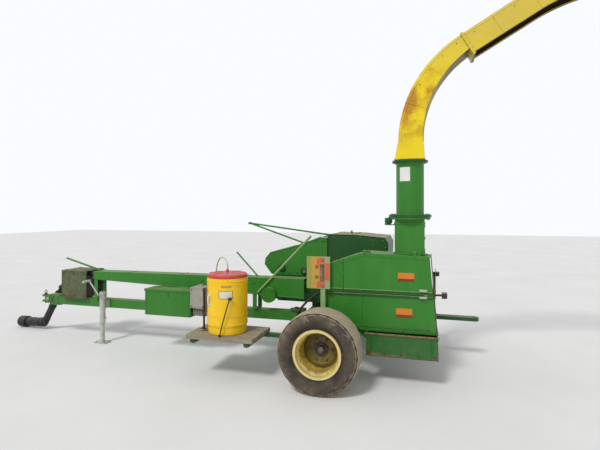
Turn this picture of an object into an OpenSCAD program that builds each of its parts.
// Pull-type forage harvester, parked on its two wheels and its tongue jack.
// X points forward to the hitch, Y to the left, Z up, millimetres.
// The inner drawing frame has its origin on the ground under the axle; seat() moves it to the box centre.

/* [Wheels] */
// Outer diameter of the tyre
tyre_d = 770; // [730:2:820]
// Width of the tyre over its sidewalls
tyre_w = 350; // [320:2:370]
// Outer diameter of the rim flange
rim_d = 456; // [430:2:480]
// Distance between the two tyre centres
track = 2270; // [2220:5:2320]
// Number of lug bolts in each wheel
lug_count = 6; // [5:1:8]

/* [Frame] */
// Width of the square axle beam
axle_beam = 90; // [80:5:100]
// Height of the frame rails
rail_h = 100; // [80:5:110]
// Wall of the frame tubes
tube_wall = 8; // [6:1:10]
// Thickness of the sheet metal of the shields
sheet = 6; // [5:1:8]

/* [Tongue] */
// Height of the tongue pivot and front gearbox input above the ground
tongue_z = 490; // [480:5:500]
// Width of the tongue tube
tongue_w = 100; // [90:5:110]
// Height of the tongue tube
tongue_h = 110; // [100:5:120]
// Distance from the axle forward to the tongue pivot
pivot_x = 500; // [490:5:520]
// Distance from the pivot to the hitch pin
tongue_len = 3620; // [3500:10:3700]
// Height of the driveline and of the cutter drum above the ground
drive_z = 860; // [850:5:870]
// Height of the driveline shield at its rear end
shield_rear_h = 222; // [200:2:240]
// Height of the driveline shield at its front end
shield_front_h = 104; // [96:2:120]

/* [Feed unit] */
// Outer width of the feed unit and cutter housing
feed_w = 700; // [660:10:720]
// Flutes on each feed roll
flute_count = 8; // [6:1:10]
// Radius of the upper front feed roll
roll_upper_front_r = 140; // [120:2:144]
// Radius of the cutter drum housing
cutter_r = 300; // [280:5:305]
// Knives on the cutter drum
knife_count = 8; // [6:1:12]

/* [Blower and spout] */
// Radius of the fan housing
fan_r = 400; // [380:5:410]
// Width of the fan housing
fan_w = 260; // [230:5:264]
// Outer diameter of the round spout column
column_d = 270; // [250:5:280]
// Height of the turntable above the ground
turntable_z = 1640; // [1600:5:1700]
// Length of the round spout column
column_len = 550; // [500:10:600]
// Radius of the lower bend of the spout, on its centre line
bend_r = 1060; // [1000:10:1120]
// Turning angle of the lower bend
bend_angle = 60; // [56:1:64]
// Length of the straight spout extension
extension_len = 650; // [600:10:700]
// Radius of the upper bend of the spout
upper_bend_r = 1500; // [1400:10:1600]
// Turning angle of the upper bend
upper_bend_angle = 28; // [24:1:30]
// Depth of the spout section in the plane of its bend
spout_d = 216; // [200:2:230]
// Width of the spout section
spout_w = 250; // [230:2:260]
// Length of the hinged spout cap
cap_len = 440; // [380:10:480]
// Resting slope of the spout cap below the end of the spout
cap_slope = 14; // [10:1:20]

/* [Additive tank] */
// Diameter of the tank
tank_d = 410; // [380:5:420]
// Height of the tank body without its lid
tank_h = 560; // [500:10:580]
// Height of the platform top above the ground
platform_z = 455; // [440:5:470]

/* [Hidden] */
$fn = 64;

// Colours
green = "#2d7a34";
dark_green = "#20592a";
yellow = "#e3bd1c";
tank_yellow = "#e8b418";
black = "#26262a";
steel = "#8d8c86";
rust = "#5b4334";
red = "#c83a2a";
orange = "#d9722e";
timber = "#a08a6c";
pale = "#c9c4bd";

// Tank's place on its board, and the radius of the plain nipples that hoses leave and enter
tank_x = 1020;
tank_y = 985;
nipple_r = 15;

// Clearances: a shaft in its bearing, a piece beside its seat, pieces that move past each other
running = 0.06;
seat_gap = 0.3;
gap = 5;

// Wheels
tyre_r = tyre_d / 2;
rim_r = rim_d / 2;
wheel_y = track / 2;
bead_r = rim_r - 18;
rim_half_w = tyre_w / 2 - 30;
rim_wall = 7;
disc_y = -62;
hub_r = 62;
hub_in = -112;
hub_out = -34;
hub_cap_r = 40;
hub_cap_out = -16;
spindle_r = 25;
lug_circle_r = 102;
lug_r = 11;
tread_depth = 9;
tread_groove_w = 16;
crown_drop = 10;
shoulder_drop = 18;
shoulder_in = 30;
liner_depth = 62;
liner_in = 46;

// Frame
axle_z = tyre_r;
axle_half = wheel_y - tyre_w / 2 - 20;
rail_z = axle_z + axle_beam / 2;
rail_top = rail_z + rail_h;
rail_w = 70;
rail_left_y = 365;
rail_right_y = -835;
front_cross_x = pivot_x - 95;
rear_cross_x = -1035;
frame_left_y = 800;
tongue_y = 250;
ear_plate = 15;
pivot_pin_r = 20;

// Feed unit
feed_right = -790;
feed_left = feed_right + feed_w;
plate = 8;
feed_rear = 236;
roll_x_front = 790;
roll_x_rear = 500;
nip_z = 838;
split_z = 905;
header_pin_x = 770;
header_pin_z = 612;
header_pin_r = 15;
header_pin_len = 45;
roll_lower_front_r = 95;
roll_upper_rear_r = 110;
roll_lower_rear_r = 90;
nip_half = 7;
roll_shaft_r = 20;
cutter_x = -66;
cutter_z = drive_z;
drum_r = cutter_r - 40;
sheave_r = 86;

// Blower
fan_x = -530;
fan_z = 790;
fan_y = 600;
column_x = -790;
neck_x = 280;
neck_y = 260;
fan_left = fan_y + fan_w / 2;
fan_right = fan_y - fan_w / 2;
auger_r = 165;
auger_z = rail_top + auger_r + seat_gap;
flange_r = 205;
column_top = turntable_z + column_len;

// Left shields
shield_y = 800;
upper_depth = 40;
roof_y = 750;
door_front = -155;
hinge_z = 1290;
shield_split_z = 884;
skid_z = 290;
skid_top = 508;
skid_front = -385;
skid_rear = -1055;
skid_y = 840;
post_x = 22;
post_w = 46;
sign_x = [-31, 209];
sign_z = [913, 1236];

// Hoses: radius, and points along each route from its first nipple to its second
tank_hose_r = 8;
tank_route = [[1020, 985, 1085], [1020, 985, 1112], [1024, 982, 1142], [1040, 971, 1172], [1068, 950, 1192],
    [1104, 922, 1202], [1140, 894, 1198], [1172, 866, 1180], [1200, 843, 1148], [1220, 826, 1108],
    [1234, 812, 1062], [1243, 803, 1014], [1248, 798, 966], [1250, 796, 918], [1250, 795, 868],
    [1250, 795, 818], [1250, 795, 768], [1250, 795, 718], [1250, 795, 668], [1250, 795, 618],
    [1250, 795, 568], [1250, 795, 520], [1250, 795, 480]];
oil_hose_r = 12;
oil_route = [[100, 362, 860], [100, 392, 860], [103, 424, 857], [114, 456, 848], [134, 486, 834],
    [162, 513, 815], [195, 537, 792], [230, 559, 766], [265, 580, 737], [297, 600, 706], [324, 617, 672],
    [343, 630, 648], [357, 636, 622], [366, 639, 596], [370, 640, 572], [370, 640, 552]];

// Spout path
base_depth = 235;
joint_depth = 165;
chamfer = 30;
lip = 30;
bend_z = column_top + 160;
bend_x = column_x - bend_r;
spout_wall = 5;
cap_pin_r = 6;
cap_pin_up = 12;
cap_pin_out = 12;

// Overall box, for the drawing's final place
pto_tip_x = pivot_x + tongue_len + 680;
spout_end = spout_path(bend_angle, extension_len, upper_bend_angle);
front_reach = pto_tip_x + 60;
rear_reach = -spout_end[0] + cap_len;
shift_x = (rear_reach - front_reach) / 2;

// A point on the spout's centre line after the lower bend, the straight part and the upper bend
function spout_path(a, l, b) = [
    bend_x + (bend_r - upper_bend_r) * cos(a) - l * sin(a) + upper_bend_r * cos(a + b),
    bend_z + (bend_r - upper_bend_r) * sin(a) + l * cos(a) + upper_bend_r * sin(a + b)
];

function arc(cx, cy, r, a0, a1, n) = [for (i = [0:n])
    let (a = a0 + (a1 - a0) * i / n) [cx + r * cos(a), cy + r * sin(a)]];

// A box between two corners
module block(x, y, z) translate([x[0], y[0], z[0]]) cube([x[1] - x[0], y[1] - y[0], z[1] - z[0]]);

// A rectangular tube along X, open at both ends
module tube_x(x, y, z, wall) difference() {
    block(x, y, z);
    block([x[0] - 1, x[1] + 1], [y[0] + wall, y[1] - wall], [z[0] + wall, z[1] - wall]);
}

// A rectangular tube along Y, open at both ends
module tube_y(x, y, z, wall) difference() {
    block(x, y, z);
    block([x[0] + wall, x[1] - wall], [y[0] - 1, y[1] + 1], [z[0] + wall, z[1] - wall]);
}

// Round bars along each axis, from one coordinate to another
module bar_x(x, y, z, r) translate([x[0], y, z]) rotate([0, 90, 0]) cylinder(h = x[1] - x[0], r = r);
module bar_y(x, y, z, r) translate([x, y[1], z]) rotate([90, 0, 0]) cylinder(h = y[1] - y[0], r = r);
module bar_z(x, y, z, r) translate([x, y, z[0]]) cylinder(h = z[1] - z[0], r = r);

// A round bar between two points
module rod(a, b, r) {
    d = b - a;
    len = norm(d);
    translate(a) rotate([0, acos(d[2] / len), atan2(d[1], d[0])]) cylinder(h = len, r = r, $fn = 24);
}

// A plate cut to an outline in XZ, lying between two values of Y
module side_plate(y) translate([0, y[1], 0]) rotate([90, 0, 0]) linear_extrude(y[1] - y[0]) children();

module seat() translate([shift_x, 0, 0]) children();

// Wheels

// Outer half of the tyre's casing, from the bead over the sidewall to the first groove: radius and half-section
function half_casing(hw) = let (
    depth = tyre_r - bead_r,
    flank_r = depth * 0.366
) concat(
    [[bead_r, rim_half_w - 34], [bead_r, rim_half_w - 12], [rim_r + 2, rim_half_w - 9]],
    arc(bead_r + depth * 0.526, hw - flank_r, flank_r, 145, 42, 6),
    [[tyre_r - shoulder_drop, hw - shoulder_in]]
);

// One groove of the tread, at a given half-section
function groove(y, hw) = [for (p = [[1, 0], [0.7, 1], [-0.7, 1], [-1, 0]])
    [tyre_r - (y / hw) ^ 2 * crown_drop - p[1] * tread_depth, y + p[0] * tread_groove_w / 2]];

function mirrored(list) = [for (i = [len(list) - 1:-1:0]) [list[i][0], -list[i][1]]];

function tyre_outline() = let (
    hw = tyre_w / 2,
    half = concat(half_casing(hw), groove(hw * 0.62, hw), groove(hw * 0.2, hw))
) concat(half, mirrored(half), [[tyre_r - liner_depth, -hw + liner_in], [tyre_r - liner_depth, hw - liner_in]]);

module tyre() color(black) rotate([-90, 0, 0]) rotate_extrude($fn = 96) polygon(tyre_outline());

module rim() color(yellow) difference() {
    union() {
        rotate([-90, 0, 0]) rotate_extrude($fn = 96) polygon([
            [rim_r, -rim_half_w], [rim_r, -rim_half_w + 8], [bead_r - seat_gap, -rim_half_w + 11],
            [bead_r - seat_gap, -rim_half_w + 40], [bead_r - 22, -rim_half_w + 58],
            [bead_r - 22, rim_half_w - 58], [bead_r - seat_gap, rim_half_w - 40],
            [bead_r - seat_gap, rim_half_w - 11], [rim_r, rim_half_w - 8], [rim_r, rim_half_w],
            [bead_r - rim_wall, rim_half_w], [bead_r - rim_wall, rim_half_w - 42],
            [bead_r - 22 - rim_wall, rim_half_w - 62], [bead_r - 22 - rim_wall, disc_y + 14],
            [lug_circle_r + 36, disc_y + 34], [lug_circle_r + 18, disc_y + 14], [hub_r - 4, disc_y + 14],
            [hub_r - 4, disc_y], [lug_circle_r + 22, disc_y], [lug_circle_r + 42, disc_y + 20],
            [bead_r - 22 - rim_wall, disc_y], [bead_r - 22 - rim_wall, -rim_half_w + 62],
            [bead_r - rim_wall, -rim_half_w + 42], [bead_r - rim_wall, -rim_half_w]
        ]);
        for (i = [0:lug_count - 1]) rotate([0, i * 360 / lug_count, 0])
            bar_y(lug_circle_r, [disc_y + 13, disc_y + 30], 0, lug_r, $fn = 6);
        bar_y(0, [hub_in, hub_out], 0, hub_r);
        bar_y(0, [hub_out - 1, hub_cap_out], 0, hub_cap_r);
    }
    bar_y(0, [hub_in - 1, hub_out - 4], 0, spindle_r + running);
}

module wheel_place(side) translate([0, side * wheel_y, axle_z]) mirror([0, side > 0 ? 0 : 1, 0]) children();

// Chassis

module axle_beam() color(dark_green) {
    half = axle_beam / 2;
    inner = half - tube_wall;
    difference() {
        block([-half, half], [-axle_half, axle_half], [axle_z - half, axle_z + half]);
        block([-inner, inner], [-axle_half + 30, axle_half - 30], [axle_z - inner, axle_z + inner]);
    }
    for (side = [0, 1]) mirror([0, side, 0]) {
        bar_y(0, [axle_half - 1, wheel_y + hub_out - 8], axle_z, spindle_r);
        bar_y(0, [axle_half - 1, wheel_y + hub_in - 6], axle_z, spindle_r + 20);
    }
}

module main_frame() color(dark_green) {
    rail = [rail_z, rail_top];
    for (y = [rail_left_y, rail_right_y])
        tube_x([rear_cross_x + rail_w - 1, front_cross_x - rail_w + 1], [y, y + rail_w], rail, tube_wall);
    tube_y([front_cross_x - rail_w, front_cross_x], [rail_right_y, frame_left_y], rail, tube_wall);
    tube_y([rear_cross_x, rear_cross_x + rail_w], [rail_right_y, rail_left_y + rail_w], rail, tube_wall);
    low = tongue_z - tongue_h / 2 - gap - ear_plate;
    high = tongue_z + tongue_h / 2 + gap;
    for (z = [low, high]) {
        block([front_cross_x, pivot_x], [tongue_y - 75, tongue_y + 75], [z, z + ear_plate]);
        bar_z(pivot_x, tongue_y, [z, z + ear_plate], 75);
    }
    block([front_cross_x - 1, front_cross_x + 10], [tongue_y - 75, tongue_y + 75], [low, high + ear_plate]);
    bar_z(pivot_x, tongue_y, [low - 20, high + ear_plate + 20], pivot_pin_r);
    bar_z(370, 640, [rail_top - 1, rail_top + 22], nipple_r);
}

module wagon_hitch() color(dark_green) difference() {
    union() {
        block([rear_cross_x - 420, rear_cross_x], [-280, -180], [rail_z + 20, rail_z + 60]);
        bar_z(rear_cross_x - 420, -230, [rail_z + 20, rail_z + 60], 50);
        block([rear_cross_x - 8, rear_cross_x], [-330, -130], [rail_z, rail_top]);
    }
    bar_z(rear_cross_x - 420, -230, [0, 900], 16);
}

// Feed unit and cutterhead

module cutter_housing() color(dark_green) difference() {
    bar_y(cutter_x, [feed_right, feed_left], cutter_z, cutter_r, $fn = 96);
    bar_y(cutter_x, [feed_right + plate, feed_left - plate], cutter_z, cutter_r - plate, $fn = 96);
    bar_y(cutter_x, [feed_left - plate - 1, feed_left + 1], cutter_z, 30 + seat_gap);
    block([cutter_x + 180, cutter_x + cutter_r + 10], [feed_right + plate, feed_left - plate],
          [nip_z - 90, nip_z + 150]);
}

module cutterhead() color(steel) {
    bar_y(cutter_x, [feed_right + plate, feed_left - plate], cutter_z, 45);
    bar_y(cutter_x, [feed_right + 30, feed_left - 30], cutter_z, drum_r - 50);
    for (i = [0:knife_count - 1]) translate([cutter_x, 0, cutter_z]) rotate([0, i * 360 / knife_count, 0])
        block([drum_r - 60, drum_r], [feed_right + 30, feed_left - 30], [-7, 7]);
}

// Height of a roll's axis: the roll lies above the nip, or below it where its radius is given as negative
function roll_z(r) = nip_z + nip_half * sign(r) + r;

// Holes for a roll's shaft through both side walls
module roll_bore(x, r) bar_y(x, [feed_right - 1, feed_left + 1], roll_z(r), roll_shaft_r + running);

// Lower half of the feed unit: floor and two low walls that carry the lower rolls
module feed_table() color(dark_green) {
    outline = [[feed_rear, 580], [feed_rear, split_z], [905, split_z], [960, 820], [905, 640], [840, 580]];
    difference() {
        for (y = [feed_right, feed_left - plate]) side_plate([y, y + plate]) polygon(outline);
        roll_bore(roll_x_front, -roll_lower_front_r);
        roll_bore(roll_x_rear, -roll_lower_rear_r);
    }
    block([feed_rear, 840], [feed_right, feed_left], [580, 588]);
    block([front_cross_x - rail_w, front_cross_x], [feed_right, feed_left], [rail_top, 582]);
    bar_y(header_pin_x, [feed_right - header_pin_len, feed_right + 1], header_pin_z, header_pin_r);
    bar_y(header_pin_x, [feed_left - 1, feed_left + header_pin_len], header_pin_z, header_pin_r);
}

// Outline of the feed unit's sloping roof, and its height at x between its first two folds
roof = [[feed_rear - 20, 1365], [320, 1368], [650, 1252], [945, 1178]];
function line_z(a, b, x) = a[1] + (x - a[0]) * (b[1] - a[1]) / (b[0] - a[0]);
function roof_z(x) = x < roof[1][0] ? line_z(roof[0], roof[1], x) : line_z(roof[1], roof[2], x);

// Upper half: two wedge-shaped cheeks joined by a sloping roof, which carry the upper rolls
module feed_roll_frame() color(green) {
    cheek = concat(roof, [[1008, 1100], [1020, 1020], [930, split_z + seat_gap], [345, split_z + seat_gap],
        [feed_rear - 20, 1000]]);
    difference() {
        for (y = [feed_right, feed_left - plate]) side_plate([y, y + plate]) polygon(cheek);
        roll_bore(roll_x_front, roll_upper_front_r);
        roll_bore(roll_x_rear, roll_upper_rear_r);
    }
    side_plate([feed_right + 1, feed_left - 1])
        polygon(concat(roof, [for (i = [3:-1:0]) roof[i] - [0, plate]]));
}

module header_support_rods() color(green) {
    tip = [1350, -400, 1530];
    for (x = [260, 620]) {
        rod([x, tip[1], roof_z(x) + 24], tip, 11);
        side_plate([tip[1] - 11, tip[1] + 11]) polygon([[x - 12, roof_z(x - 12) + seat_gap],
            [x + 12, roof_z(x + 12) + seat_gap], [x + 12, roof_z(x) + 30], [x - 12, roof_z(x) + 30]]);
    }
    bar_y(tip[0], [tip[1] - 30, tip[1] + 30], tip[2], 16);
}

// Outline of the hood over the drum: its floor lies inside the drum housing's round, which opens it below
hood = [[feed_rear - 22, 1150], [feed_rear - 22, 1405], [180, 1412], [-160, 1405], [-470, 1376], [-510, 1310],
    [-500, 1080], [-330, 960], [100, 960]];

module sharpener_hood() color(dark_green) difference() {
    side_plate([feed_right + 20, feed_left - 20]) polygon(hood);
    side_plate([feed_right + 20 + sheet, feed_left - 20 - sheet]) offset(delta = -sheet) polygon(hood);
    bar_y(cutter_x, [feed_right, feed_left], cutter_z, cutter_r + seat_gap, $fn = 96);
}

function roll_points(r, n) = [for (i = [0:n - 1])
    for (k = [[0, 0], [2.5, 1], [360 / n - 14, 1], [360 / n - 10, 0]])
        let (a = i * 360 / n + k[0], q = r - k[1] * 22) [q * cos(a), q * sin(a)]];

module feed_roll(r, fluted) color(steel) {
    w = [feed_right + plate + 12, feed_left - plate - 12];
    if (fluted) side_plate(w) polygon(roll_points(r, flute_count));
    else bar_y(0, w, 0, r);
    bar_y(0, [feed_right - 25, feed_left + 25], 0, roll_shaft_r);
}

// Blower

module auger_tube() color(dark_green) difference() {
    union() {
        bar_y(fan_x, [feed_right, fan_right], auger_z, auger_r);
        block([fan_x, cutter_x], [feed_right, feed_left], [auger_z - 60, auger_z + 150]);
    }
    bar_y(fan_x, [feed_right + sheet, fan_right + 1], auger_z, auger_r - sheet);
    block([fan_x - 1, cutter_x + 1], [feed_right + sheet, feed_left - sheet],
          [auger_z - 60 + sheet, auger_z + 150 - sheet]);
    bar_y(cutter_x, [feed_right - 1, feed_left + 1], cutter_z, cutter_r + seat_gap, $fn = 96);
}

module fan_housing() color(green) difference() {
    union() {
        bar_y(fan_x, [fan_right, fan_left], fan_z, fan_r, $fn = 96);
        block([column_x - neck_x / 2, column_x + neck_x / 2], [fan_y - neck_y / 2, fan_y + neck_y / 2],
              [fan_z + 200, turntable_z - 30]);
        bar_z(column_x, fan_y, [turntable_z - 31, turntable_z - 12], flange_r - 8);
        block([column_x + neck_x / 2 - 1, column_x + flange_r + 40], [fan_y - 40, fan_y + 40],
              [turntable_z - 92, turntable_z - 84]);
        block([column_x + flange_r - 10, column_x + flange_r + 40], [fan_y - 36, fan_y + 36],
              [turntable_z - 85, turntable_z - 18]);
    }
    bar_y(fan_x, [fan_right + sheet, fan_left - sheet], fan_z, fan_r - sheet, $fn = 96);
    block([column_x - neck_x / 2 + sheet, column_x + neck_x / 2 - sheet],
          [fan_y - neck_y / 2 + sheet, fan_y + neck_y / 2 - sheet], [fan_z + 180, turntable_z - 40]);
    bar_z(column_x, fan_y, [turntable_z - 41, turntable_z], column_d / 2 - 12);
    bar_y(fan_x, [fan_right - 1, fan_right + sheet + 1], auger_z, auger_r - sheet);
}

// Belt sheave on the fan shaft, seen when the left shield is open
module sheave(r) rotate([-90, 0, 0]) rotate_extrude($fn = 72) polygon([[0, 0], [34, 0], [34, 4], [r - 30, 4],
    [r - 30, 0], [r, 2], [r, 6], [r - 12, 12], [r, 18], [r, 22], [r - 30, 24], [r - 30, 14], [34, 14], [34, 22],
    [0, 22]]);

module fan_drive() color(black) {
    translate([fan_x, fan_left + seat_gap, fan_z]) sheave(150);
    translate([cutter_x, fan_left + seat_gap, cutter_z]) sheave(sheave_r);
    translate([0, fan_left + 18, 0]) rotate([90, 0, 0]) linear_extrude(10) difference() {
        hull() {
            translate([fan_x, fan_z]) circle(r = 153);
            translate([cutter_x, cutter_z]) circle(r = sheave_r + 3);
        }
        hull() {
            translate([fan_x, fan_z]) circle(r = 142);
            translate([cutter_x, cutter_z]) circle(r = sheave_r - 8);
        }
    }
    bar_y(cutter_x, [feed_left - plate, fan_left + 2], cutter_z, 30);
}

module shield_roof() color(green) {
    difference() {
        side_plate([fan_right - 20, roof_y]) polygon([[20, 1144], [20, 1150], [-240, 1244], [-360, 1276],
            [skid_rear + 66, 1250], [skid_rear + 66, 1244], [-360, 1270], [-240, 1238]]);
        block([column_x - neck_x / 2 - seat_gap, column_x + neck_x / 2 + seat_gap],
              [fan_y - neck_y / 2 - seat_gap, fan_y + neck_y / 2 + seat_gap], [1100, 1400]);
    }
    for (x = hinge_x) block([x, x + 40], [roof_y - 8, roof_y], [1240, hinge_z]);
    for (x = hinge_x) bar_x([x, x + 80], roof_y - 4, hinge_z, 6);
}

hinge_x = [-900, -420];

upper_outline = [[30, shield_split_z + 4], [30, 1060], [-10, 1150], [-240, 1246], [-360, 1280], [-980, 1254],
    [-1012, shield_split_z + 4]];

module upper_shield(x, inner_y) difference() {
    intersection() {
        side_plate([inner_y, shield_y]) polygon(upper_outline);
        block(x, [0, 900], [0, 2000]);
    }
    side_plate([inner_y - 1, shield_y - sheet]) offset(delta = -sheet) polygon(upper_outline);
}

module shield_door_left() color(green) {
    upper_shield([-1100, door_front], shield_y - upper_depth);
    for (x = hinge_x) difference() {
        union() {
            bar_x([x + 41, x + 79], roof_y - 4, hinge_z, 12);
            block([x + 41, x + 79], [roof_y - 4, shield_y - upper_depth + 5], [hinge_z - 4, hinge_z + 4]);
            block([x + 41, x + 79], [shield_y - upper_depth, shield_y - upper_depth + sheet],
                  [1250, hinge_z + 4]);
        }
        bar_x([x + 40, x + 80], roof_y - 4, hinge_z, 6 + running);
    }
}

module shield_front_left() color(green) {
    upper_shield([door_front + gap, 40], shield_y - upper_depth);
    block([-140, -20], [fan_left + 35, fan_left + 55], [shield_split_z - 4 + seat_gap, shield_split_z + 5]);
}

lower_outline = [[30, shield_split_z - 4], [-1014, shield_split_z - 4], [-1045, skid_top + 2],
    [-330, skid_top + 2], [-120, 640], [30, 700]];

module shield_lower_left() color(dark_green) difference() {
    side_plate([fan_left + seat_gap, fan_left + 45]) polygon(lower_outline);
    side_plate([fan_left, fan_left + 45 - sheet]) offset(delta = -sheet) polygon(lower_outline);
    block([-960, 24], [fan_left, fan_left + 45 - sheet], [shield_split_z - 20, shield_split_z]);
}

module skid_box() color(green) difference() {
    union() {
        block([skid_rear, skid_front], [fan_right - 20, skid_y], [skid_z, skid_top]);
        block([skid_rear - 15, skid_front + 15], [skid_y - 1, skid_y + 14], [skid_top - 10, skid_top]);
    }
    block([skid_rear + sheet, skid_front - sheet], [fan_right - 20 + sheet, skid_y - sheet],
          [skid_z + sheet, skid_top + 1]);
    bar_y(fan_x, [fan_right - seat_gap, fan_left + seat_gap], fan_z, fan_r + seat_gap, $fn = 96);
}

// Rear face of the rear panel: its top, and its place at a height z
panel_top = [skid_rear + 60 - seat_gap, 1250];
panel_lean = 56;
function panel_x(z) = panel_top[0] - panel_lean * (panel_top[1] - z) / (panel_top[1] - skid_top - 2);

module rear_panel() color(dark_green) side_plate([fan_right - 20, roof_y])
    polygon([panel_top, panel_top + [sheet, 0], [panel_x(skid_top + 2) + sheet, skid_top + 2],
        [panel_x(skid_top + 2), skid_top + 2]]);

module right_outline(inset) {
    translate([cutter_x, cutter_z]) circle(r = 280 - inset, $fn = 72);
    translate([roll_x_front, nip_z]) circle(r = 190 - inset, $fn = 72);
    polygon([[cutter_x, cutter_z - 280 + inset], [roll_x_front, nip_z - 190 + inset],
        [roll_x_front, nip_z + 190 - inset], [cutter_x, cutter_z + 280 - inset]]);
}

module side_shield_right() color(green) difference() {
    side_plate([feed_right - 75, feed_right - seat_gap]) right_outline(0);
    side_plate([feed_right - 75 + sheet, feed_right + 1]) right_outline(sheet);
    bar_y(header_pin_x, [feed_right - 100, feed_right], header_pin_z, header_pin_r + 12);
}

module warning_panel() {
    post_y = [shield_y + 4, shield_y + 4 + post_w];
    color(green) block([post_x, post_x + post_w], post_y, [rail_z, sign_z[0] + 40]);
    color(green) block([-axle_beam / 2, post_x + post_w], post_y, [rail_z, rail_z + 10]);
    color(orange) block(sign_x, [post_y[1], post_y[1] + sheet], sign_z);
}

module main_gearbox() color(green) {
    difference() {
        union() {
            bar_y(cutter_x, [tongue_y - 90, tongue_y + 90], drive_z, 140);
            bar_y(cutter_x, [tongue_y - 110, tongue_y + 110], drive_z, 62);
            bar_x([cutter_x, 310], tongue_y, drive_z, 84);
            bar_y(100, [tongue_y + 70, tongue_y + 112], drive_z, nipple_r);
            block([-axle_beam / 2, axle_beam / 2], [tongue_y - 60, tongue_y + 60], [rail_z, drive_z - 90]);
        }
        bar_y(cutter_x, [tongue_y - 111, tongue_y + 111], drive_z, 30 + seat_gap);
    }
    bar_x([300, 330], tongue_y, drive_z, 60);
    bar_x([329, pivot_x - 45], tongue_y, drive_z, 26);
    for (z = [drive_z - 46, drive_z + 34]) {
        bar_z(pivot_x, tongue_y, [z, z + 12], 20);
        block([pivot_x - 60, pivot_x], [tongue_y - 16, tongue_y + 16], [z, z + 12]);
    }
    block([pivot_x - 66, pivot_x - 44], [tongue_y - 30, tongue_y + 30], [drive_z - 46, drive_z + 46]);
}

// Additive tank and its platform

module tank_platform() color(dark_green) {
    z = [platform_z - 85, platform_z - 45];
    block([front_cross_x - rail_w, 1380], [740, 790], z);
    block([front_cross_x - rail_w, front_cross_x], [740, 790], [z[0], rail_z]);
    for (x = [700, 1280]) block([x, x + 50], [789, 1200], z);
}

module platform_board() color(timber) {
    block([650, 1378], [720, 1220], [platform_z - 45, platform_z]);
    bar_z(1250, 795, [platform_z - 1, platform_z + 25], nipple_r);
}

module tank_body() color(tank_yellow) translate([tank_x, tank_y, platform_z]) rotate_extrude($fn = 96)
    polygon([[0, 0], [tank_d / 2 - 16, 0], [tank_d / 2 - 10, 6], [tank_d / 2 - 8, 70], [tank_d / 2 - 2, 82],
        [tank_d / 2, 95], [tank_d / 2, tank_h - 6], [tank_d / 2 - 6, tank_h], [0, tank_h]]);

module tank_lid() color(red) translate([tank_x, tank_y, platform_z + tank_h]) rotate_extrude($fn = 96)
    polygon([[0, 0], [tank_d / 2 - 4, 0], [tank_d / 2 - 4, 26], [tank_d / 2 - 14, 38], [60, 46], [nipple_r, 46],
        [nipple_r, 70], [0, 70]]);

module rear_lamps() {
    color(black) block([-1135, -1090], [650, 740], [855, 905]);
    color(steel) block([-1091, panel_x(872) - seat_gap], [680, 710], [872, 888]);
    color(black) block([-1080, rear_cross_x + 1], [-800, -710], [870, 920]);
    color(green) block([rear_cross_x, rear_cross_x + 30], [-770, -740], [rail_top, 920]);
}

module rear_emblem() {
    color(green) block([rear_cross_x, rear_cross_x + 8], [-350, -310], [rail_top, 760]);
    color(orange) translate([rear_cross_x, -330, 690]) rotate([90, 0, -90]) linear_extrude(4)
        polygon([[-190, 0], [190, 0], [0, 330]]);
}

// Tongue

tongue_front = pivot_x + tongue_len - 290;
gearbox_x = [tongue_front - 430, tongue_front - 130];
half_w = tongue_w / 2;
half_h = tongue_h / 2;
channel_w = 85;
channel_x = [385, gearbox_x[0] - 150];
post_places = [960, 1640, channel_x[1] - 60];
jack_x = tongue_front - 760;
jack_y = tongue_y + tongue_w / 2 + 85;
jack_top = 620;
guard_y = [tongue_y - 225, tongue_y + 105];

module tongue() color(green) difference() {
    union() {
        difference() {
            block([pivot_x, tongue_front], [tongue_y - half_w, tongue_y + half_w],
                  [tongue_z - half_h, tongue_z + half_h]);
            block([pivot_x + 120, tongue_front - 20],
                  [tongue_y - half_w + tube_wall, tongue_y + half_w - tube_wall],
                  [tongue_z - half_h + tube_wall, tongue_z + half_h - tube_wall]);
        }
        bar_z(pivot_x, tongue_y, [tongue_z - half_h, tongue_z + half_h], 58);
        for (x = post_places) {
            for (y = [tongue_y - channel_w + seat_gap, tongue_y + channel_w - seat_gap - sheet])
                block([x, x + 50], [y, y + sheet], [tongue_z + half_h - 1, drive_z - 10]);
            block([x, x + 50], [tongue_y - channel_w + seat_gap, tongue_y + channel_w - seat_gap],
                  [tongue_z + half_h - 1, tongue_z + half_h + 8]);
        }
    }
    bar_z(pivot_x, tongue_y, [tongue_z - 200, tongue_z + 200], pivot_pin_r + running);
}

module hitch_head() color(green) difference() {
    union() {
        block([tongue_front, tongue_front + 170], [tongue_y - 50, tongue_y + 50],
              [tongue_z - 70, tongue_z + 70]);
        bar_y(tongue_front + 190, [tongue_y - 62, tongue_y + 62], tongue_z + 10, 58);
        for (z = [tongue_z - 40, tongue_z + 32])
            union() {
                block([tongue_front + 190, pivot_x + tongue_len], [tongue_y - 45, tongue_y + 45], [z, z + 20]);
                bar_z(pivot_x + tongue_len, tongue_y, [z, z + 20], 45);
            }
    }
    bar_z(pivot_x + tongue_len, tongue_y, [tongue_z - 200, tongue_z + 200], 16);
}

tool_x = [1700, 2310];
tool_y = [tongue_y + tongue_w / 2, 560];
tool_z = [450, 754];
pump_x = [1502, 1684];
lid_hinge_x = [1770, 2180];
lid_hinge_y = tongue_y + channel_w + 17;
lid_hinge_z = tool_z[1] + seat_gap + sheet;
lid_pin_r = 3;
lid_barrel_r = 6;
input_y = tongue_y - 130;
input_z = 640;
pto_x = gearbox_x[1] + 270;
pto_ball_r = 34;
yoke_x = [pto_x - 80, pto_x - 64];
yoke_in = pto_ball_r + gap;
yoke_out = yoke_in + 12;
yoke_pin_r = 10;

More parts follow.
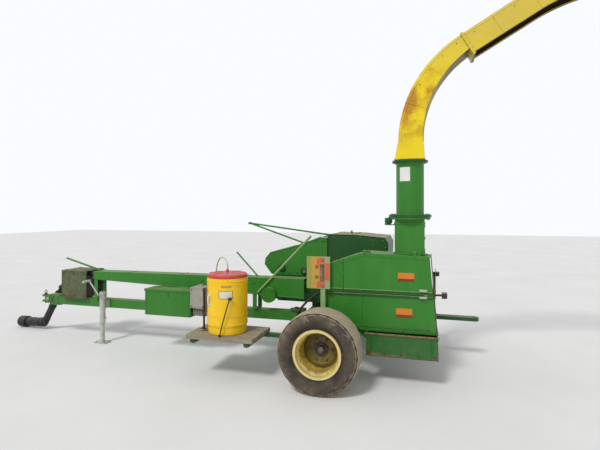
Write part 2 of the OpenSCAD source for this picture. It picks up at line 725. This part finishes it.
module front_gearbox() color(dark_green) {
    translate([gearbox_x[0], 0, 0]) rotate([90, 0, 90]) linear_extrude(gearbox_x[1] - gearbox_x[0]) union() {
        translate([tongue_y, drive_z - 46]) circle(r = 82);
        translate([input_y, input_z]) circle(r = 70);
        polygon([[input_y - 66, input_z + 20], [tongue_y - 78, drive_z - 30], [tongue_y + 80, drive_z - 80],
            [tongue_y + 80, input_z - 60], [input_y, input_z - 70]]);
    }
    block([gearbox_x[0] - 10, gearbox_x[1] + 10],
          [guard_y[0] + sheet + seat_gap, guard_y[1] - sheet - seat_gap],
          [tongue_z + half_h, tongue_z + half_h + 30]);
    bar_x([gearbox_x[0] - 40, gearbox_x[0] + 1], tongue_y, drive_z, 34);
    bar_x([gearbox_x[1] - 1, gearbox_x[1] + 40], input_y, input_z, 50);
    translate([gearbox_x[1] + 39, input_y, input_z]) rotate([0, 90, 0]) cylinder(h = 130, r1 = 50, r2 = 66);
    bar_x([gearbox_x[1], yoke_x[1]], input_y, input_z, 22);
    block(yoke_x, [input_y - yoke_out, input_y + yoke_out], [input_z - 16, input_z + 16]);
    for (y = [input_y - yoke_out, input_y + yoke_in]) {
        block([yoke_x[0], pto_x], [y, y + yoke_out - yoke_in], [input_z - 16, input_z + 16]);
        bar_y(pto_x, [y, y + yoke_out - yoke_in], input_z, 16);
    }
    bar_y(pto_x, [input_y - yoke_out, input_y + yoke_out], input_z, yoke_pin_r);
}

module gearbox_guard() color(steel) difference() {
    block([gearbox_x[0] - 50, gearbox_x[1] + 50], guard_y, [tongue_z + half_h - 14, 905]);
    block([gearbox_x[0] - 51, gearbox_x[1] + 51], [guard_y[0] + sheet, guard_y[1] - sheet],
          [tongue_z + half_h - 15, 905 - sheet]);
}

// Top edge of the driveline shield at its rear and front end
shield_top = [922, 905];
cup = [796, 730];
hose_post = [[980, tongue_y, shield_top[0]], [1250, tongue_y, 1200]];
hose_arm = [[channel_x[1] - 40, tongue_y, shield_top[1] + 4], [gearbox_x[1] + 63, tongue_y, 1054]];

// A long inverted channel over the driveline, with a round guard cup on its side and two hose carriers on top
module driveline_shield() color(green) {
    difference() {
        side_plate([tongue_y - channel_w - sheet, tongue_y + channel_w + sheet])
            polygon([[channel_x[0], shield_top[0] - shield_rear_h], [channel_x[0], shield_top[0]],
                [channel_x[1], shield_top[1]], [channel_x[1], shield_top[1] - shield_front_h]]);
        side_plate([tongue_y - channel_w, tongue_y + channel_w])
            polygon([[channel_x[0] - 1, shield_top[0] - shield_rear_h - 10],
                [channel_x[0] - 1, shield_top[0] - sheet], [channel_x[1] + 1, shield_top[1] - sheet],
                [channel_x[1] + 1, shield_top[1] - shield_front_h - 10]]);
    }
    bar_y(cup[0], [tongue_y + channel_w + 1, tongue_y + channel_w + 64], cup[1], 86);
    rod(hose_post[0], hose_post[1], 9);
    rod(hose_arm[0], hose_arm[1], 12);
}

module driveline() color(black) {
    bar_z(pivot_x, tongue_y, [drive_z - 32, drive_z + 32], 13);
    bar_x([pivot_x, pivot_x + 70], tongue_y, drive_z, 24);
    bar_x([pivot_x + 60, pivot_x + 110], tongue_y, drive_z, 44);
    bar_x([pivot_x + 100, gearbox_x[0] - 40 - seat_gap], tongue_y, drive_z, 30);
}

// Screw jack with a crank on its outer side, which leans forward and up
module jack() {
    x = jack_x;
    y = jack_y;
    crank = [x, y + 66, jack_top - 8];
    crank_end = crank + [150, 0, 186];
    color(pale) difference() {
        bar_z(x, y, [250, jack_top], 35);
        bar_z(x, y, [249, jack_top - 20], 30);
    }
    color(steel) bar_z(x, y, [12, jack_top - 19], 27);
    color(pale) block([x - 85, x + 85], [y - 60, y + 60], [0, 13]);
    color(green) block([x - 40, x + 40], [tongue_y + tongue_w / 2, y - 33], [tongue_z - 50, tongue_z + 50]);
    color(pale) bar_z(x, y, [jack_top - 1, jack_top + 34], 38);
    color(pale) bar_y(x, [y + 30, crank[1] + 8], crank[2], 11);
    color(pale) rod(crank, crank_end, 9);
    color(black) bar_y(crank_end[0], [crank[1] - 10, crank[1] + 105], crank_end[2], 14);
}

module tool_box() color(green) difference() {
    union() {
        difference() {
            block(tool_x, tool_y, tool_z);
            block([tool_x[0] + sheet, tool_x[1] - sheet], [tool_y[0] + sheet, tool_y[1] - sheet],
                  [tool_z[0] + sheet, tool_z[1] + 1]);
        }
        block(tool_x, [tool_y[0], lid_hinge_y - 2], [tool_z[1] - sheet, tool_z[1]]);
        for (x = lid_hinge_x) {
            block([x, x + 20], [lid_hinge_y - lid_barrel_r, lid_hinge_y + lid_barrel_r],
                  [tool_z[1] - sheet, lid_hinge_z]);
            bar_x([x, x + 20], lid_hinge_y, lid_hinge_z, lid_barrel_r);
            bar_x([x, x + 60], lid_hinge_y, lid_hinge_z, lid_pin_r);
        }
    }
    block([tool_x[0] - 1, tool_x[1] + 1],
          [tongue_y + channel_w - seat_gap, tongue_y + channel_w + sheet + seat_gap],
          [tool_z[1] - 14, tool_z[1] + 1]);
}

module tool_box_lid() color(green) difference() {
    union() {
        difference() {
            block([tool_x[0] - 8, tool_x[1] + 8], [lid_hinge_y, tool_y[1] + 8], [tool_z[1] - 19, lid_hinge_z]);
            block([tool_x[0] - 2, tool_x[1] + 2], [lid_hinge_y - 1, tool_y[1] + 2],
                  [tool_z[1] - 20, lid_hinge_z - sheet]);
            block([tool_x[0] - 10, tool_x[1] + 10], [lid_hinge_y - 1, lid_hinge_y + 20],
                  [tool_z[1] - 20, lid_hinge_z - sheet]);
        }
        for (x = lid_hinge_x) bar_x([x + 21, x + 59], lid_hinge_y, lid_hinge_z, lid_barrel_r);
    }
    for (x = lid_hinge_x) {
        block([x - 2, x + 21], [lid_hinge_y - 10, lid_hinge_y + 12], [tool_z[1] - 20, lid_hinge_z + 10]);
        bar_x([x - 3, x + 61], lid_hinge_y, lid_hinge_z, lid_pin_r + running);
    }
}

module pump_box() {
    color(pale) block(pump_x, [400, 590], [570, 805]);
    color(rust) bar_x([pump_x[0] + 18, pump_x[1] - 4], 480, 510, 48);
    color(rust) block([pump_x[0] + 40, pump_x[1] - 40], [430, 530], [550, 571]);
    color(black) block([pump_x[1] - 1, tool_x[0]], [400, 560], [580, 700]);
}

module control_rod() color(green) {
    y = tongue_y + channel_w + sheet + seat_gap + 13;
    rod([936, y, 752], [300, y, 1411], 13);
}

// Front driveline, parked with its tractor end on the ground
pto_ball = [pto_x, input_y, input_z];
pto_knee = [pto_x + 355, input_y - 50, 103];
pto_tip = [pto_tip_x, input_y - 100, 77];
pto_axis = (pto_tip - pto_knee) / norm(pto_tip - pto_knee);

module pto_shaft() color(black) difference() {
    union() {
        translate(pto_ball) sphere(r = pto_ball_r);
        rod(pto_ball, pto_knee, 30);
        rod(pto_ball + (pto_knee - pto_ball) * 0.16, pto_ball + (pto_knee - pto_ball) * 0.92, 46);
        translate(pto_knee) sphere(r = 50);
        rod(pto_knee, pto_tip, 60);
        rod(pto_knee + (pto_tip - pto_knee) * 0.72, pto_tip, 74);
    }
    rod(pto_tip - pto_axis * 90, pto_tip + pto_axis, 17.5);
    bar_y(pto_x, [input_y - pto_ball_r - 1, input_y + pto_ball_r + 1], input_z, yoke_pin_r + running);
}

// Hoses

// Direction of a route at its point i, and the ring of points round it; the route never runs along ref
function heading(p, i) = let (d = p[min(i + 1, len(p) - 1)] - p[max(i - 1, 0)]) d / norm(d);
function ring(p, i, r, ref, n) = let (
    t = heading(p, i),
    c = cross(t, ref),
    u = c / norm(c),
    v = cross(t, u)
) [for (k = [0:n - 1]) p[i] + r * (cos(k * 360 / n) * u + sin(k * 360 / n) * v)];

module hose(p, r, ref) {
    n = 10;
    rings = len(p);
    polyhedron(
        points = [for (i = [0:rings - 1]) each ring(p, i, r, ref, n)],
        faces = concat(
            [[for (k = [0:n - 1]) k]],
            [for (i = [0:rings - 2]) for (k = [0:n - 1]) each let (a = i * n + k, b = i * n + (k + 1) % n)
                [[a, b + n, b], [a, a + n, b + n]]],
            [[for (k = [n - 1:-1:0]) (rings - 1) * n + k]]
        )
    );
}

module tank_hose() color(pale) hose(tank_route, tank_hose_r, [1, 1, 0]);

module oil_hose() color(black) hose(oil_route, oil_hose_r, [1, 0, 1]);

// Spout

// Section of the spout, its outer corners cut off: the outer wall lies along X = spout_d / 2
module spout_shape(depth, inset) {
    cut = chamfer + inset * (sqrt(2) - 1);
    half = spout_w / 2 - inset;
    outer = spout_d / 2 - inset;
    inner = spout_d / 2 - depth + inset;
    side = spout_d / 2 - cut;
    corner = spout_w / 2 - cut;
    polygon([[inner, -half], [side, -half], [outer, -corner], [outer, corner], [side, half], [inner, half]]);
}

// Section of the upper spout: a channel, open on its inner side between two narrow lips
module channel_section() difference() {
    spout_shape(spout_d, 0);
    spout_shape(spout_d, spout_wall);
    translate([-spout_d / 2 - 1, -spout_w / 2 + lip]) square([spout_wall + 2, spout_w - 2 * lip]);
}

module spout_column() color(green) {
    difference() {
        union() {
            bar_z(column_x, fan_y, [turntable_z, column_top], column_d / 2);
            bar_z(column_x, fan_y, [turntable_z - 12 + seat_gap, turntable_z + 14], flange_r);
            bar_z(column_x, fan_y, [column_top - 18, column_top], column_d / 2 + 38);
        }
        bar_z(column_x, fan_y, [turntable_z - 20, column_top + 1], column_d / 2 - 8);
    }
}

module ring_place(a) translate([bend_x, fan_y, bend_z + 4]) rotate([0, -a, 0]) translate([bend_r, 0, 0])
    children();

// Inner wall of the lower bend: it nears the outer wall towards the joint
function inner_wall(inset) = [for (i = [0:16]) let (
    t = bend_angle * (i / 16 * 1.1 - 0.05),
    r = bend_r + spout_d / 2 - base_depth + (base_depth - joint_depth) * t / bend_angle + inset
) [bend_x + r * cos(t), bend_z + 4 + r * sin(t)]];

// The lower bend as a solid, inset from its outside and reaching past its ends by an angle
module bend_solid(inset, over) intersection() {
    translate([bend_x, fan_y, bend_z + 4]) rotate([90, 0, 0]) rotate([0, 0, -over])
        rotate_extrude(angle = bend_angle + 2 * over, $fn = 128) translate([bend_r, 0])
            spout_shape(base_depth + 40, inset);
    side_plate([fan_y - spout_w, fan_y + spout_w]) polygon(concat(inner_wall(inset), [[bend_x, bend_z + 3000],
        [bend_x + 3000, bend_z + 3000], [bend_x + 3000, bend_z - 500]]));
}

// Flange plate at the joint of the two spout halves, around an opening as deep as given
module joint_plate(depth) linear_extrude(12) difference() {
    translate([-spout_d / 2 - 22, -spout_w / 2 - 14]) square([spout_d + 24, spout_w + 28]);
    spout_shape(depth, spout_wall + 1);
}

module spout_lower() color(yellow) {
    difference() {
        hull() {
            translate([column_x, fan_y, column_top]) linear_extrude(1)
                square([column_d + 14, column_d], center = true);
            translate([column_x, fan_y, bend_z]) linear_extrude(10) spout_shape(base_depth, -6);
        }
        hull() {
            translate([column_x, fan_y, column_top - 1]) linear_extrude(1)
                square([column_d + 4, column_d - 10], center = true);
            translate([column_x, fan_y, bend_z]) linear_extrude(11) spout_shape(base_depth, 3);
        }
    }
    difference() {
        bend_solid(0, 0);
        bend_solid(spout_wall, 1);
    }
    ring_place(bend_angle) translate([0, 0, -12]) joint_plate(joint_depth);
}

module spout_upper() color(yellow) {
    ring_place(bend_angle) {
        linear_extrude(extension_len) channel_section();
        joint_plate(spout_d);
        translate([-upper_bend_r, 0, extension_len]) rotate([90, 0, 0])
            rotate_extrude(angle = upper_bend_angle, $fn = 160) translate([upper_bend_r, 0]) channel_section();
    }
    spout_end_place() {
        bar_y(spout_d / 2 + cap_pin_up, [-spout_w / 2, spout_w / 2], cap_pin_out, cap_pin_r);
        for (y = [-spout_w / 2, spout_w / 2 - 6])
            block([spout_d / 2 - chamfer - 12, spout_d / 2 + cap_pin_up + cap_pin_r], [y, y + 6],
                  [-16, cap_pin_out + cap_pin_r]);
    }
}

// Frame at the end of the spout: local Z runs along the spout, local X points out of its top
module spout_end_place() ring_place(bend_angle) translate([-upper_bend_r, 0, extension_len])
    rotate([0, -upper_bend_angle, 0]) translate([upper_bend_r, 0, 0]) children();

module cap_place() spout_end_place() translate([spout_d / 2 + cap_pin_up, 0, cap_pin_out])
    rotate([0, -cap_slope, 0]) children();

module spout_cap() color(yellow) cap_place() {
    difference() {
        translate([-spout_d - 10, -spout_w / 2 - 12, 0]) cube([spout_d + 14, spout_w + 24, cap_len]);
        translate([-spout_d - 11, -spout_w / 2 - 7, -1]) cube([spout_d + 10, spout_w + 14, cap_len + 2]);
        translate([-spout_d - 11, -spout_w, cap_len * 0.35]) rotate([0, 16, 0]) translate([-100, 0, 0])
            cube([140, spout_w * 2, cap_len]);
        for (y = [-spout_w / 2 - 6, spout_w / 2 - 10]) translate([-9, y, -1]) cube([20, 16, 22]);
        bar_y(0, [-spout_w, spout_w], 0, cap_pin_r + running);
    }
    difference() {
        bar_y(0, [-spout_w / 2 + 12, spout_w / 2 - 12], 0, cap_pin_r + 4);
        bar_y(0, [-spout_w, spout_w], 0, cap_pin_r + running);
    }
}

seat() {
    axle_beam();
    main_frame();
    wagon_hitch();
    cutter_housing();
    cutterhead();
    feed_table();
    feed_roll_frame();
    header_support_rods();
    sharpener_hood();
    auger_tube();
    fan_housing();
    fan_drive();
    shield_roof();
    shield_door_left();
    shield_lower_left();
    shield_front_left();
    skid_box();
    rear_panel();
    side_shield_right();
    warning_panel();
    main_gearbox();
    tank_platform();
    platform_board();
    tank_body();
    tank_lid();
    rear_lamps();
    rear_emblem();
    tongue();
    hitch_head();
    front_gearbox();
    gearbox_guard();
    driveline_shield();
    driveline();
    jack();
    tool_box();
    tool_box_lid();
    pump_box();
    control_rod();
    pto_shaft();
    translate([roll_x_front, 0, roll_z(roll_upper_front_r)]) feed_roll(roll_upper_front_r, true);  // roll_upper_front
    translate([roll_x_front, 0, roll_z(-roll_lower_front_r)]) feed_roll(roll_lower_front_r, true);  // roll_lower_front
    translate([roll_x_rear, 0, roll_z(roll_upper_rear_r)]) feed_roll(roll_upper_rear_r, true);  // roll_upper_rear
    translate([roll_x_rear, 0, roll_z(-roll_lower_rear_r)]) feed_roll(roll_lower_rear_r, false);  // roll_lower_rear
    wheel_place(1) rim();  // rim_left
    wheel_place(1) tyre();  // tyre_left
    wheel_place(-1) rim();  // rim_right
    wheel_place(-1) tyre();  // tyre_right
    spout_column();
    spout_lower();
    spout_upper();
    spout_cap();
    tank_hose();
    oil_hose();
}
